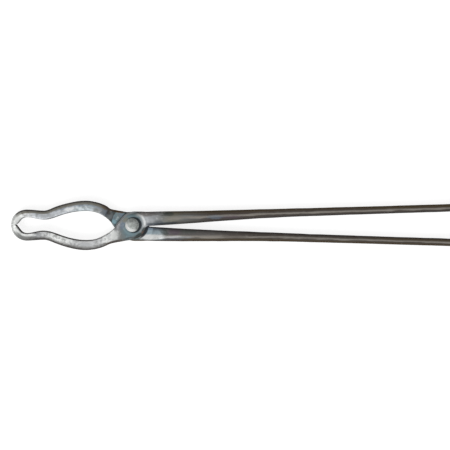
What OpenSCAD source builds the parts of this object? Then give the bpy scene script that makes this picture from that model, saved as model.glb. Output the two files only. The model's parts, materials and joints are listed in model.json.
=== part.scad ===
// Rivet tongs: two forged halves that cross at a half lap, held by one rivet.
// Lengths are in millimetres. The tongs lie flat and shut, +Z up, jaws towards -X and reins
// towards +X. The origin is the centre of the front eye, halfway through its thickness.

/* [Front eye] */
// Distance from the rivet to the centre of the front eye
eye_reach = 124.4; // [110:0.1:150]
// Diameter of the shank that the front eye closes on
eye_d = 18.8; // [14:0.1:22]
// Width of the bar round the front eye
nose_w = 9; // [7:0.1:11]
// Length of the flat where the two jaw tips meet
tip_l = 6; // [4:0.1:7]
// Gap between the jaw tips when the tongs are shut
tip_gap = 0.3; // [0.1:0.05:1]
// How far towards +Y the jaw tips meet from the middle line
tip_shift = 0.7; // [-1.5:0.1:1.5]
// Chamfer at both mouths of the front eye
eye_chamfer = 0.8; // [0.4:0.1:1.5]

/* [Neck and bow] */
// Distance from the rivet to the neck
neck_reach = 104.4; // [98:0.1:108]
// Gap between the jaws at the neck
neck_gap = 13.1; // [9:0.1:16]
// Width of the bar at the neck
neck_w = 10.8; // [8:0.1:13]
// Distance from the rivet to the middle of the flank between neck and bow
flank_reach = 88.4; // [82:0.1:92]
// Slope of that flank, in degrees
flank_slope = 20.5; // [12:0.5:28]
// Distance from the rivet to the widest place of the bow
bow_reach = 54; // [50:0.1:62]
// Gap between the jaws at the widest place of the bow
bow_gap = 34.4; // [28:0.1:42]
// Width of the bar at the bow
bow_w = 12; // [10:0.1:15]
// Distance from the rivet to the end of the bow, where it comes down to the boss
bow_end = 34; // [31:0.1:38]
// Slope of the bow at that end, in degrees
bow_slope = 26.5; // [22:0.5:32]
// Width of the bar at that end
bow_end_w = 11.8; // [10:0.1:15]

/* [Bar section] */
// Thickness of the jaws and of the rein roots, from face to face
bar_t = 14; // [12:0.1:18]
// Rounding of the jaws' outer edges
outer_round = 4; // [2:0.1:5]
// Rounding of the jaws' inner edges
inner_round = 1.2; // [0.5:0.1:2.5]

/* [Boss] */
// Radius of the round side of the boss
boss_r = 16.2; // [14:0.1:18]
// How far towards -Y both bosses and both rein roots lie from the middle line
boss_drop = 1.4; // [-2:0.1:2]
// Distance from the rivet to the ends of the top boss's long side
top_side = 13.3; // [12.5:0.1:14.5]
// Distance from the rivet to the ends of the bottom boss's long side
bottom_side = 16.5; // [14:0.1:16.6]
// How far a long side bulges at its middle
side_bulge = 1.6; // [0:0.1:2]
// Slope of a long side at its middle, in degrees
side_slope = 48; // [44:0.5:51]
// Distance from the rivet to the end of the top boss's long side, where its jaw begins
top_crotch = 21.2; // [20:0.1:22]
// Distance from the rivet to the end of the bottom boss's long side, where its jaw begins
bottom_crotch = 26; // [23:0.1:27]
// Slope of the inner edge at those ends, in degrees
crotch_slope = 49; // [40:0.5:54]
// Thickness of each boss
boss_t = 5.5; // [4:0.1:6.5]
// Rounding of the boss edges
boss_round = 1.2; // [0.5:0.1:2]
// Gap between the two bosses
lap_gap = 0.2; // [0.1:0.05:0.5]
// Room between the round side of a boss and the foot of the other half's shoulder
shoulder_gap = 8.4; // [6:0.1:9.4]
// How much further out a shoulder lies at its top than at its foot
shoulder_draft = 9; // [4:0.1:10]

/* [Reins] */
// Distance from the rivet to the end of the reins
rein_reach = 457; // [300:1:560]
// Distance from the rivet to the place where a rein has its full thickness
root_reach = 36; // [32:0.5:44]
// Width of a rein at its root
root_w = 16.2; // [12:0.1:18]
// Gap between the reins at their roots
root_gap = 2.6; // [1.5:0.1:5]
// Distance from the rivet to the end of the quick taper
taper_reach = 180; // [140:1:220]
// Width of a rein at the end of the quick taper
taper_w = 10.2; // [8:0.1:14]
// Thickness of a rein at the end of the quick taper
taper_t = 10; // [8:0.1:13]
// Gap between the reins at the end of the quick taper
taper_gap = 18.4; // [12:0.1:26]
// Width of a rein near its end
end_w = 9.1; // [7:0.1:12]
// Thickness of a rein near its end
end_t = 8.8; // [7:0.1:12]
// Gap between the reins at their ends
end_gap = 36; // [25:0.5:60]
// Length of the rounded end of a rein
end_l = 5; // [3:0.5:9]
// Rounding of the rein edges, as a share of the rein's width
rein_round = 0.28; // [0.15:0.01:0.4]

/* [Rivet] */
// Diameter of the rivet's shank
rivet_d = 10; // [7:0.1:12]
// Radial clearance of the shank in the top half, which turns on it
running_gap = 0.05; // [0.02:0.01:0.1]
// Diameter of the hammered head on top
head_d = 16.2; // [13:0.1:19]
// Height of the hammered head on top
head_h = 4; // [2.5:0.1:5.5]
// Diameter of the flat that the hammer leaves on its crown
head_flat = 7; // [0:0.1:11]
// Diameter of the factory head underneath
tail_d = 17; // [13:0.1:19]
// Height of the factory head underneath
tail_h = 4.4; // [2.5:0.1:6]
// Height of the upright rim of both heads
rim_h = 0.8; // [0.4:0.1:1.5]

/* [Hidden] */
$fn = 96;

eye_r = eye_d / 2;
nose_r = eye_r + nose_w;
half_t = bar_t / 2;
// Stock left inside the eye, which the round cut takes away
eye_stock = 0.15;
shoulder_r = boss_r + shoulder_gap;

// Longest step between two sections of the jaw and boss and of the rein, and the most that
// the bar turns in one step
jaw_step = 2.6;
rein_step = 20;
step_turn = 5;

// A station is [inner edge, outer edge, faces, edges]. An edge is [x, y, heading], with the
// heading in degrees. Faces are [height of the lap side, depth of the outside]. The last item
// holds the rounding of the inner and of the outer edge.
function beside(x, y, heading, w) = [
    [x + w / 2 * sin(heading), y - w / 2 * cos(heading), heading],
    [x - w / 2 * sin(heading), y + w / 2 * cos(heading), heading]
];
function below(x, gap, w, drop, out_heading, in_heading) = [
    [x, -gap / 2 - w - drop, -out_heading],
    [x, -gap / 2 - drop, -in_heading]
];

// Where the long side of a boss runs, at a distance along it from its middle. It is a parabola
// that lies at the side's distance at both ends and bulges between them.
function boss_side(side, reach, d) =
    let (off = side + side_bulge * (1 - pow(d / reach, 2)))
    [
        -off * sin(side_slope) + d * cos(side_slope),
        -off * cos(side_slope) - d * sin(side_slope),
        -side_slope + atan(2 * side_bulge * d / pow(reach, 2))
    ];
// A place on the round side of the boss, at an angle from +X
function boss_rim(a) = [boss_r * cos(a), boss_r * sin(a), a - 90];
// A place on the outer edge before the rivet, by its height above the boss and its slope
function over_boss(x, rise, slope, drop) = [-x, boss_r + rise - drop, -slope];

// Height of the bar's middle at the neck, halfway up the flank, at the bow and at its end
neck_y = (neck_gap + neck_w) / 2;
bow_y = (bow_gap + bow_w) / 2;
flank_share = 0.39;
flank_y = neck_y + flank_share * (bow_y - neck_y);
bow_end_y = bow_y - (bow_reach - bow_end) * tan(bow_slope / 2);
// Distance of a rein root's outer edge from the middle between the roots
root_y = root_gap / 2 + root_w;
// Shares of the bosses' shift that the jaws take at the bow and at its end
bow_share = 0.25;
bow_end_share = 0.5;

full = [half_t, half_t];
lapped = [-lap_gap / 2, boss_t];
jaw_edges = [inner_round, outer_round];
boss_edges = [boss_round, boss_round];
jaw_root_edges = [boss_round, 0.8 * outer_round];
jaw_shoulder_edges = [boss_round, 0.5 * outer_round];
root_edges = [rein_round * root_w, rein_round * root_w];
taper_edges = [rein_round * taper_w, rein_round * taper_w];
end_edges = [rein_round * end_w, rein_round * end_w];

// The stations of a jaw, with the rise of its tip and the drop of its boss
function jaw_stations(rise, drop) = [
    [
        [-eye_reach - eye_r + eye_stock, tip_gap / 2 + rise, 90],
        [-eye_reach - nose_r, tip_gap / 2 + rise, 90],
        full, jaw_edges
    ],
    [[-eye_reach, eye_r - eye_stock, 0], [-eye_reach, nose_r, 0], full, jaw_edges],
    concat(beside(-neck_reach, neck_y, 0, neck_w), [full, jaw_edges]),
    concat(
        beside(-flank_reach, flank_y, flank_slope, (neck_w + bow_w) / 2),
        [full, jaw_edges]
    ),
    concat(beside(-bow_reach, bow_y - bow_share * drop, 0, bow_w), [full, jaw_edges]),
    concat(
        beside(-bow_end, bow_end_y - bow_end_share * drop, -bow_slope, bow_end_w),
        [full, jaw_edges]
    )
];
// The stations of a boss. Its long side ends at the crotch, a distance from the rivet. Before
// the rivet the outer edge runs down to the round side, and behind it the rein's edges begin.
function boss_stations(side, crotch, drop) =
    let (reach = sqrt(crotch * crotch - side * side))
    let (end = boss_side(side, reach, -reach))
    [
        [
            [end[0], end[1], -crotch_slope], over_boss(25, 4.2, 15, drop),
            full, jaw_root_edges
        ],
        [
            boss_side(side, reach, 5 - reach), over_boss(14, 2, 9, drop),
            [half_t, boss_t], jaw_shoulder_edges
        ],
        [boss_side(side, reach, -3), over_boss(7, 0.7, 7, drop), lapped, boss_edges],
        [boss_side(side, reach, 3), boss_rim(72), lapped, boss_edges],
        [[-1, 0.6 - root_y - drop, -14], boss_rim(48), lapped, boss_edges],
        [[9, 0.1 - root_y - drop, -2], boss_rim(14), lapped, boss_edges],
        [
            [18, 0.4 - root_y - drop, -1], [22, 0.8 - root_gap / 2 - drop, -3],
            [-lap_gap / 2, half_t], boss_edges
        ]
    ];
function rein_stations(drop) = [
    concat(below(root_reach, root_gap, root_w, drop, 0.8, 3.4), [full, root_edges]),
    concat(
        below(taper_reach, taper_gap, taper_w, 0, 1.4, 2.3),
        [[taper_t / 2, taper_t / 2], taper_edges]
    ),
    concat(
        below(rein_reach - end_l, end_gap, end_w, 0, 1.7, 1.7),
        [[end_t / 2, end_t / 2], end_edges]
    )
];
// The stations of one half, with its jaw above at the left and its rein below at the right
function stations(side, crotch, rise, drop) = concat(
    jaw_stations(rise, drop),
    boss_stations(side, crotch, drop),
    rein_stations(drop)
);

// Point at share t of the smooth curve from edge a to edge b. It is a cubic whose ends have
// the edges' headings, and it keeps to a circle where both ends lie on one.
function curve(a, b, t) =
    let (chord = norm([b[0] - a[0], b[1] - a[1]]))
    let (pull = chord / pow(cos((b[2] - a[2]) / 4), 2))
    let (s = t * t * (3 - 2 * t))
    let (u = t * (1 - t) * (1 - t) * pull)
    let (v = t * t * (1 - t) * pull)
    [
        a[0] + (b[0] - a[0]) * s + u * cos(a[2]) - v * cos(b[2]),
        a[1] + (b[1] - a[1]) * s + u * sin(a[2]) - v * sin(b[2])
    ];
// Value at share t of an even ease from a to b
function ease(a, b, t) = a + (b - a) * t * t * (3 - 2 * t);
function steps(a, b) =
    let (longest = a[1][0] < root_reach ? jaw_step : rein_step)
    max(
        3,
        ceil(abs(b[1][2] - a[1][2]) / step_turn),
        ceil(norm([b[1][0] - a[1][0], b[1][1] - a[1][1]]) / longest)
    );

// The rounded corner of a section: a quarter of an ellipse from the face to the side
function corner(c, d) = [for (a = [0:30:90]) [c * (1 - sin(a)), d * (1 - cos(a))]];
function turned(points) = [for (i = [len(points) - 1:-1:0]) points[i]];
// A section between two edge points, shrunk towards its middle by a share
function section(p, q, faces, rounds, share) =
    let (w = norm(q - p))
    let (dir = (q - p) / w)
    let (top = faces[0])
    let (bottom = -faces[1])
    let (d_in = min(rounds[0], 0.3 * (top - bottom)))
    let (d_out = min(rounds[1], 0.3 * (top - bottom)))
    let (near = corner(rounds[0], d_in))
    let (far = corner(rounds[1], d_out))
    let (flat = concat(
        [for (k = turned(near)) [k[0], top - k[1]]],
        [for (k = far) [w - k[0], top - k[1]]],
        [for (k = turned(far)) [w - k[0], bottom + k[1]]],
        [for (k = near) [k[0], bottom + k[1]]]
    ))
    let (mid_w = w / 2)
    let (mid_z = (top + bottom) / 2)
    [
        for (k = flat)
        let (along_w = mid_w + share * (k[0] - mid_w))
        [p[0] + dir[0] * along_w, p[1] + dir[1] * along_w, mid_z + share * (k[1] - mid_z)]
    ];
function between(a, b, t) = section(
    curve(a[0], b[0], t), curve(a[1], b[1], t),
    [ease(a[2][0], b[2][0], t), ease(a[2][1], b[2][1], t)],
    [ease(a[3][0], b[3][0], t), ease(a[3][1], b[3][1], t)],
    1
);

// The rounded end of a rein: sections that move on and shrink along a quarter circle
END_ANGLES = [0, 30, 55, 75];
end_share = 0.35;
function end_rings(last) = [
    for (a = END_ANGLES)
    let (move = end_l * sin(a))
    let (share = end_share + (1 - end_share) * cos(a))
    section(
        [last[0][0] + move, last[0][1]], [last[1][0] + move, last[1][1]],
        last[2], last[3], share
    )
];
function rings(list) = concat(
    [
        for (i = [0:len(list) - 2])
        let (n = steps(list[i], list[i + 1]))
        for (k = [0:n - 1])
        between(list[i], list[i + 1], k / n)
    ],
    end_rings(list[len(list) - 1])
);

// A closed skin over sections that all have the same number of points
module skin(sections) {
    n = len(sections[0]);
    m = len(sections);
    walls = [
        for (i = [0:m - 2]) for (k = [0:n - 1]) for (side = [0, 1])
        side == 0
            ? [i * n + k, i * n + (k + 1) % n, (i + 1) * n + k]
            : [i * n + (k + 1) % n, (i + 1) * n + (k + 1) % n, (i + 1) * n + k]
    ];
    first_cap = [[for (k = [n - 1:-1:0]) k]];
    last_cap = [[for (k = [0:n - 1]) (m - 1) * n + k]];
    polyhedron([for (s = sections) each s], concat(walls, first_cap, last_cap), 4);
}

// The round eye and the vee that runs from it to the tips, for a tip with the given rise
module eye_cut(rise) {
    vee = [-(nose_r - tip_l), rise];
    vee_lean = atan2(rise, nose_r - tip_l);
    vee_angle = acos(eye_r / norm(vee));
    touch = [
        for (a = [vee_lean + vee_angle, vee_lean - vee_angle])
        [-eye_r * cos(a), eye_r * sin(a)]
    ];
    translate([-eye_reach, 0, 0]) {
        cylinder(h = 3 * bar_t, d = eye_d, center = true);
        for (side = [0, 1]) {
            mirror([0, 0, side])
                translate([0, 0, half_t - eye_chamfer])
                    cylinder(h = 2 * eye_chamfer, r1 = eye_r, r2 = eye_r + 2 * eye_chamfer);
        }
        linear_extrude(height = 3 * bar_t, center = true)
            polygon([vee, touch[0], [0, 0], touch[1]]);
    }
}

// The room that the other half's boss turns in
module lap_cut() {
    translate([0, 0, -lap_gap / 2])
        cylinder(h = half_t + lap_gap, r1 = shoulder_r, r2 = shoulder_r + shoulder_draft);
}

// One forged half, with the rivet's axis at x = 0, for a bore of the given radius
module half(side, crotch, rise, drop, bore_r) {
    difference() {
        skin(rings(stations(side, crotch, rise, drop)));
        eye_cut(rise);
        lap_cut();
        cylinder(h = 3 * bar_t, r = bore_r, center = true);
    }
}

module bottom_half() {
    color([0.42, 0.40, 0.38])
        translate([eye_reach, 0, 0])
            half(bottom_side, bottom_crotch, tip_shift, boss_drop, rivet_d / 2);
}

// The top half is turned over, so its tip and its boss shift the other way
module top_half() {
    color([0.56, 0.57, 0.57])
        translate([eye_reach, 0, 0])
            rotate([180, 0, 0])
                half(top_side, top_crotch, -tip_shift, -boss_drop, rivet_d / 2 + running_gap);
}

// A low round head that stands on z = 0. Above its rim it is part of a ball, cut flat at the
// crown: the ball passes the rim's top edge and the edge of the flat.
module head(d, h, flat) {
    ball_z = (flat * flat / 4 + h * h - d * d / 4 - rim_h * rim_h) / (2 * (h - rim_h));
    ball_r = norm([flat / 2, h - ball_z]);
    rotate_extrude() {
        intersection() {
            translate([0, ball_z])
                circle(r = ball_r);
            square([d / 2, h]);
        }
    }
}

module rivet() {
    color([0.66, 0.68, 0.68])
        translate([eye_reach, 0, 0]) {
            translate([0, 0, -boss_t])
                cylinder(h = 2 * boss_t + lap_gap, d = rivet_d);
            translate([0, 0, boss_t + lap_gap])
                head(head_d, head_h, head_flat);
            translate([0, 0, -boss_t])
                mirror([0, 0, 1])
                    head(tail_d, tail_h, 0);
        }
}

bottom_half();
top_half();
rivet();
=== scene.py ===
"""Rivet tongs: the forged surfaces of both halves and of the rivet, their steel, and the stage."""

import json
import math

import bpy
import numpy as np
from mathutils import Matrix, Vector

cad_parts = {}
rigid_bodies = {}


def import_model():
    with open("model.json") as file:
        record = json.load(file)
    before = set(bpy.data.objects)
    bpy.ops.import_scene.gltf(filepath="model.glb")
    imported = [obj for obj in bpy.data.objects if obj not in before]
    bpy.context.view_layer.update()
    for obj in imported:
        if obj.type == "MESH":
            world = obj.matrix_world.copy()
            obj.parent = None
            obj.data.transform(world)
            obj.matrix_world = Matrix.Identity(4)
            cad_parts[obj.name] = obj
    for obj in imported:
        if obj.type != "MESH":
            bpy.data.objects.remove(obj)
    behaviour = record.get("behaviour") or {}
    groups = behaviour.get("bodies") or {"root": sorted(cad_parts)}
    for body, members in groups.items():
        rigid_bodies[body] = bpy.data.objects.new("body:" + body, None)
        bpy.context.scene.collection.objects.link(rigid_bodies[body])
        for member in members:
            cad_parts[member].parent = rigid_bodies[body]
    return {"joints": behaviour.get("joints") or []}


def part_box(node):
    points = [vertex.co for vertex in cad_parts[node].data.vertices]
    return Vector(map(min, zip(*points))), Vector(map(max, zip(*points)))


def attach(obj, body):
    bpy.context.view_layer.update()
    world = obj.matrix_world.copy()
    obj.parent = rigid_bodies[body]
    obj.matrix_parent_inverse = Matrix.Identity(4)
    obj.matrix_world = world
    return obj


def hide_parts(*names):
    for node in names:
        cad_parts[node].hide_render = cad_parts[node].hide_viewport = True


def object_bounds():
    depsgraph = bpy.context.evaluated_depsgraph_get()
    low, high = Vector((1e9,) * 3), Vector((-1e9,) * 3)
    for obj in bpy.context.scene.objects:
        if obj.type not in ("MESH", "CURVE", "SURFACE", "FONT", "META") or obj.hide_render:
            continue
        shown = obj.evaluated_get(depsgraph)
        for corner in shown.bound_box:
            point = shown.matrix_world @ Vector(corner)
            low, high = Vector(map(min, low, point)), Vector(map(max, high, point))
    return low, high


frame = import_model()
CAD_BOX = [list(corner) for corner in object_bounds()]

bl_info = {
    "name": "Rivet tongs",
    "version": (1, 0, 0),
    "blender": (4, 5, 0),
    "location": "View3D > Sidebar > Tongs",
    "description": "Forged rivet tongs with hammered faces, temper colours and forge scale",
    "category": "Add Mesh",
}

MM = 0.001
HINGE = frame["joints"][0]
RIVET_X = HINGE["pos_m"][0]
LOWER_BODY = HINGE["parent"]
UPPER_BODY = HINGE["child"]
HALF_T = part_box("top_half")[1].z
LOWEST = CAD_BOX[0][2]


def length(name, value_mm, note):
    """A length property, given in millimetres and held in metres."""
    return bpy.props.FloatProperty(
        name=name, description=note, default=value_mm * MM, subtype="DISTANCE", unit="LENGTH"
    )


def angle(name, degrees, note):
    """An angle property, given in degrees and held in radians."""
    return bpy.props.FloatProperty(
        name=name, description=note, default=math.radians(degrees), subtype="ANGLE"
    )


def amount(name, value, note):
    """A plain number property."""
    return bpy.props.FloatProperty(name=name, description=note, default=value)


def colour(name, red, green, blue, note):
    """A colour property, given as it looks on a screen, from 0 to 255, and held as light."""
    light = [((c / 255 + 0.055) / 1.055) ** 2.4 for c in (red, green, blue)]
    return bpy.props.FloatVectorProperty(
        name=name, description=note, default=light, subtype="COLOR", size=3, min=0, max=1
    )


class JawSizes(bpy.types.PropertyGroup):
    """Sizes of the front eye, the neck and the bow."""

    eye_d: length("Eye", 18.8, "Diameter of the front eye")
    nose_w: length("Nose width", 9, "Width of the bar round the eye")
    tip_l: length("Tip flat", 6, "Length of the flat where the tips meet")
    tip_gap: length("Tip gap", 0.3, "Gap between the tips")
    tip_shift: length("Tip shift", 0.7, "How far the tips meet above the middle line")
    tip_edge: length("Tip edge", 0.5, "Rounding of the edges of the tip faces")
    neck_reach: length("Neck reach", 104.4, "Distance from the rivet to the neck")
    neck_gap: length("Neck gap", 13.1, "Gap between the jaws at the neck")
    neck_w: length("Neck width", 10.8, "Width of the bar at the neck")
    flank_reach: length("Flank reach", 88.4, "Distance from the rivet to the flank")
    flank_slope: angle("Flank slope", 20.5, "Slope of the flank")
    flank_share: amount("Flank share", 0.39, "Place of the flank between neck and bow")
    bow_reach: length("Bow reach", 54, "Distance from the rivet to the middle of the bow")
    bow_gap: length("Bow gap", 34.4, "Gap between the jaws at the bow")
    bow_w: length("Bow width", 12, "Width of the bar at the bow")
    bow_end: length("Bow end", 34, "Distance from the rivet to the end of the bow")
    bow_slope: angle("Bow slope", 26.5, "Slope of the bow where it meets the boss")
    bow_end_w: length("Bow end width", 11.8, "Width of the bar at the end of the bow")
    outer_round: length("Outer rounding", 4, "Rounding of the outer edges")
    inner_round: length("Inner rounding", 1.2, "Rounding of the inner edges")
    crown: amount("Crown share", 0.03, "Crown of both faces as a share of the width")


class BossSizes(bpy.types.PropertyGroup):
    """Sizes of the half lap."""

    radius: length("Boss radius", 16.2, "Radius of the round side of the boss")
    drop: length("Boss drop", 1.4, "How far the bosses and rein roots lie below the middle line")
    bow_share: amount("Bow share", 0.25, "Share of the boss drop that the jaw takes at the bow")
    bow_end_share: amount("Bow end share", 0.5, "Share that it takes at the end of the bow")
    top_side: length("Top side", 13.3, "Distance from the rivet to the top boss's long side")
    bottom_side: length("Bottom side", 16.5, "Distance from the rivet to the bottom boss's long side")
    bulge: length("Side bulge", 1.6, "How far a long side bulges at its middle")
    slope: angle("Side slope", 48, "Slope of a long side at its middle")
    top_crotch: length("Top crotch", 21.2, "Distance from the rivet to the top jaw's beginning")
    bottom_crotch: length("Bottom crotch", 26, "Distance from the rivet to the bottom jaw's beginning")
    crotch_slope: angle("Crotch slope", 49, "Slope of the inner edge there")
    thickness: length("Boss thickness", 5.5, "Thickness of each boss")
    rounding: length("Boss rounding", 1.2, "Rounding of the boss edges")
    lap_gap: length("Lap gap", 0.2, "Gap between the two bosses")
    shoulder_gap: length("Shoulder gap", 8.4, "Room between a boss and a shoulder's foot")
    shoulder_draft: length("Shoulder draft", 9, "How much a shoulder leans outwards")
    shoulder_soft: length("Shoulder softness", 0.9, "Rounding of the shoulder's foot and top")


class ReinSizes(bpy.types.PropertyGroup):
    """Sizes of the reins."""

    reach: length("Rein reach", 457, "Distance from the rivet to the end of the reins")
    root_reach: length("Root reach", 36, "Distance from the rivet to the rein root")
    root_w: length("Root width", 16.2, "Width of a rein at its root")
    root_gap: length("Root gap", 2.6, "Gap between the reins at their roots")
    taper_reach: length("Taper reach", 180, "Distance from the rivet to the end of the taper")
    taper_w: length("Taper width", 10.2, "Width of a rein at the end of the taper")
    taper_t: length("Taper thickness", 10, "Thickness of a rein at the end of the taper")
    taper_gap: length("Taper gap", 18.4, "Gap between the reins at the end of the taper")
    end_w: length("End width", 9.1, "Width of a rein near its end")
    end_t: length("End thickness", 8.8, "Thickness of a rein near its end")
    end_gap: length("End gap", 36, "Gap between the reins at their ends")
    end_l: length("End rounding", 5, "Length of the rounded end of a rein")
    rounding: amount("Edge share", 0.28, "Rounding of the edges as a share of the width")
    crown: amount("Crown share", 0.09, "Crown of both faces as a share of the width")


class RivetSizes(bpy.types.PropertyGroup):
    """Sizes of the rivet."""

    shank_d: length("Shank", 10, "Diameter of the shank")
    running_gap: length("Running gap", 0.05, "Clearance of the shank in the top half")
    head_d: length("Head", 16.2, "Diameter of the hammered head")
    head_h: length("Head height", 4, "Height of the hammered head")
    head_flat: length("Head flat", 7, "Diameter of the flat on the hammered head's crown")
    tail_d: length("Factory head", 17, "Diameter of the factory head")
    tail_h: length("Factory head height", 4.4, "Height of the factory head")
    rim_h: length("Rim height", 0.8, "Height of the upright rim of both heads")
    dent: length("Head dents", 0.3, "Depth of the hammer's dents in the head")


class ForgingMarks(bpy.types.PropertyGroup):
    """How rough the hammer leaves the bars."""

    dent: length("Dent depth", 0.3, "Depth of the broad hammer dents")
    dent_l: length("Dent length", 9, "Length of the broad hammer dents")
    pit: length("Pit depth", 0.07, "Depth of the small pits under the scale")
    pit_l: length("Pit length", 2.4, "Length of the small pits")


class SteelColours(bpy.types.PropertyGroup):
    """Colours of the steel."""

    # Bright steel is real wear at the tips, and also the colour of painted highlights on the jaws, the rein root and
    # the rivet's rim.
    bright: colour("Bright steel", 244, 246, 244, "Steel worn bright")
    silver: colour("Silver steel", 206, 207, 208, "Worn steel of the jaws")
    satin: colour("Satin steel", 186, 190, 195, "Cooler worn steel of the bottom jaw")
    grey: colour("Grey steel", 162, 165, 168, "Dull steel")
    ash: colour("Ash steel", 124, 126, 124, "Steel under thin scale")
    # Dark steel is real scale in the grain, and also painted shade on edges, sides and roundings that turn away from
    # the light.
    shade: colour("Dark steel", 76, 72, 70, "Scale left along the jaws' edges")
    teal: colour("Temper teal", 110, 130, 136, "Temper colour of the bosses")
    # Temper cyan is a temper tint, laid as a painted highlight where the shoulder beside the boss catches the light.
    cyan: colour("Temper cyan", 134, 168, 178, "Pale temper colour beside the boss")
    # Temper ice is a pale temper tint, made lighter as painted light on the ramp of the lower rein.
    ice: colour("Temper ice", 168, 190, 200, "Palest temper colour, on the ramp of the lower rein")
    blue: colour("Temper blue", 112, 126, 142, "Blue temper colour")
    frost: colour("Blue-grey steel", 184, 194, 199, "Pale blue steel of the bow and the ramp")
    # Jaw scale is painted shade along the bottom jaw's outer rounding, in a scale tint.
    moss: colour("Jaw scale", 126, 122, 110, "Scale on the outer side of the bottom jaw")
    # Slate steel is also painted shade on the bottom jaw's shoulder slope.
    slate: colour("Slate steel", 96, 104, 116, "Dark steel of the shoulder")
    pine: colour("Dark green scale", 58, 68, 66, "Dark scale beside the boss")
    bronze: colour("Brown scale", 88, 66, 40, "Brown scale on the boss's rim")
    khaki: colour("Khaki steel", 130, 129, 118, "Greenish steel of the rein roots")
    green: colour("Temper green", 76, 90, 84, "Dark green temper colour")
    plum: colour("Temper plum", 98, 84, 100, "Temper colour of the rein roots")
    rust: colour("Rust", 112, 78, 60, "Small rust marks")
    olive: colour("Olive scale", 90, 78, 54, "Scale on the outer edges")
    scale: colour("Forge scale", 86, 79, 74, "Scale on the reins")
    iron: colour("Grey scale", 104, 101, 99, "Thinner scale near the root of the lower rein")
    # Navy scale is a blue scale tint, laid as painted shade in the fork between the reins.
    navy: colour("Navy scale", 62, 68, 76, "Dark blue scale in the fork of the reins")
    # Rubbed scale is rubbed scale and also painted sheen, laid as a stripe along the reins towards their lit side.
    rub_and_sheen: colour("Rubbed scale", 148, 143, 136, "Scale rubbed through on high places")
    # This colour is painted shadow, laid round the rivet's head, round the top boss and along its long side, where
    # their shadows fall.
    painted_shadow: colour("Soot", 30, 33, 36, "Dirt in the corners round the boss")
    head: colour("Rivet head", 194, 200, 197, "Hammered head of the rivet")


class StageSettings(bpy.types.PropertyGroup):
    """The camera, the lamps and the floor."""

    field: length("Field width", 531, "Width of the picture on the floor")
    centre_x: length("Picture centre X", 233.7, "Place of the picture's centre along the tongs")
    centre_y: length("Picture centre Y", 0.12, "Place of the picture's centre across the tongs")
    lens: amount("Lens", 150, "Focal length in millimetres")
    sky: amount("Sky", 1.25, "Light from the bright part of the sky")
    dusk: amount("Dusk", 0.3, "Light from the rest of the sky")
    key: amount("Key lamp", 5, "Power of the lamp, in watts")
    floor: colour("Floor", 176, 176, 176, "Colour of the floor")
    glow: amount("Floor glow", 0.8, "What the floor adds to its own shade for the camera")


SETTINGS = {
    "tongs_jaw": JawSizes,
    "tongs_boss": BossSizes,
    "tongs_rein": ReinSizes,
    "tongs_rivet": RivetSizes,
    "tongs_marks": ForgingMarks,
    "tongs_colours": SteelColours,
    "tongs_stage": StageSettings,
}


def lattice(i, j, k, seed):
    """An even random value for each lattice point: what a large multiple of a sine leaves."""
    wave = np.sin(i * 12.9898 + j * 78.233 + k * 37.719 + seed * 4.1414) * 43758.5453
    return wave - np.floor(wave)


def soft_noise(points, size, seed):
    """Smooth noise from 0 to 1: lattice values, blended by a cubic ease along each axis."""
    cell = points / size
    low = np.floor(cell)
    share = cell - low
    share = share * share * (3 - 2 * share)
    total = 0
    for corner in np.ndindex(2, 2, 2):
        weight = np.prod(np.where(np.array(corner), share, 1 - share), axis=-1)
        i, j, k = np.moveaxis(low + np.array(corner), -1, 0)
        total = total + weight * lattice(i, j, k, seed)
    return total


def ease(a, b, t):
    """An even ease from a to b."""
    return a + (b - a) * t * t * (3 - 2 * t)


def step(value, low, high):
    """0 below low and 1 above high, with a cubic ease between."""
    return ease(0, 1, np.clip((value - low) / (high - low), 0, 1))


def least(a, b, soft):
    """The lower of two heights, with a parabola of that softness where they cross."""
    mix = np.clip(0.5 + (b - a) / (2 * soft), 0, 1)
    return b + (a - b) * mix - soft * mix * (1 - mix)


def curve(a, b, t):
    """Points of the cubic from edge a to edge b, each x, y and heading, that leaves and arrives
    along the headings. Its pull is the chord over the squared cosine of a quarter of the turn,
    which keeps it to a circle where both ends lie on one."""
    chord = np.hypot(b[0] - a[0], b[1] - a[1])
    pull = chord / np.cos((b[2] - a[2]) / 4) ** 2
    s = t * t * (3 - 2 * t)
    u = t * (1 - t) ** 2 * pull
    v = t * t * (1 - t) * pull
    return np.stack(
        [
            a[0] + (b[0] - a[0]) * s + u * np.cos(a[2]) - v * np.cos(b[2]),
            a[1] + (b[1] - a[1]) * s + u * np.sin(a[2]) - v * np.sin(b[2]),
        ],
        axis=-1,
    )


def beside(x, y, heading, width):
    """The inner and outer edge of a bar of that width whose middle passes x, y."""
    dx, dy = width / 2 * math.sin(heading), width / 2 * math.cos(heading)
    return [x + dx, y - dy, heading], [x - dx, y + dy, heading]


def rein_edges(x, gap, width, drop, outer_turn, inner_turn):
    """The outer and inner edge of a rein below the middle line, with headings in degrees."""
    outer = [x, -gap / 2 - width - drop, -math.radians(outer_turn)]
    inner = [x, -gap / 2 - drop, -math.radians(inner_turn)]
    return outer, inner


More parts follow.
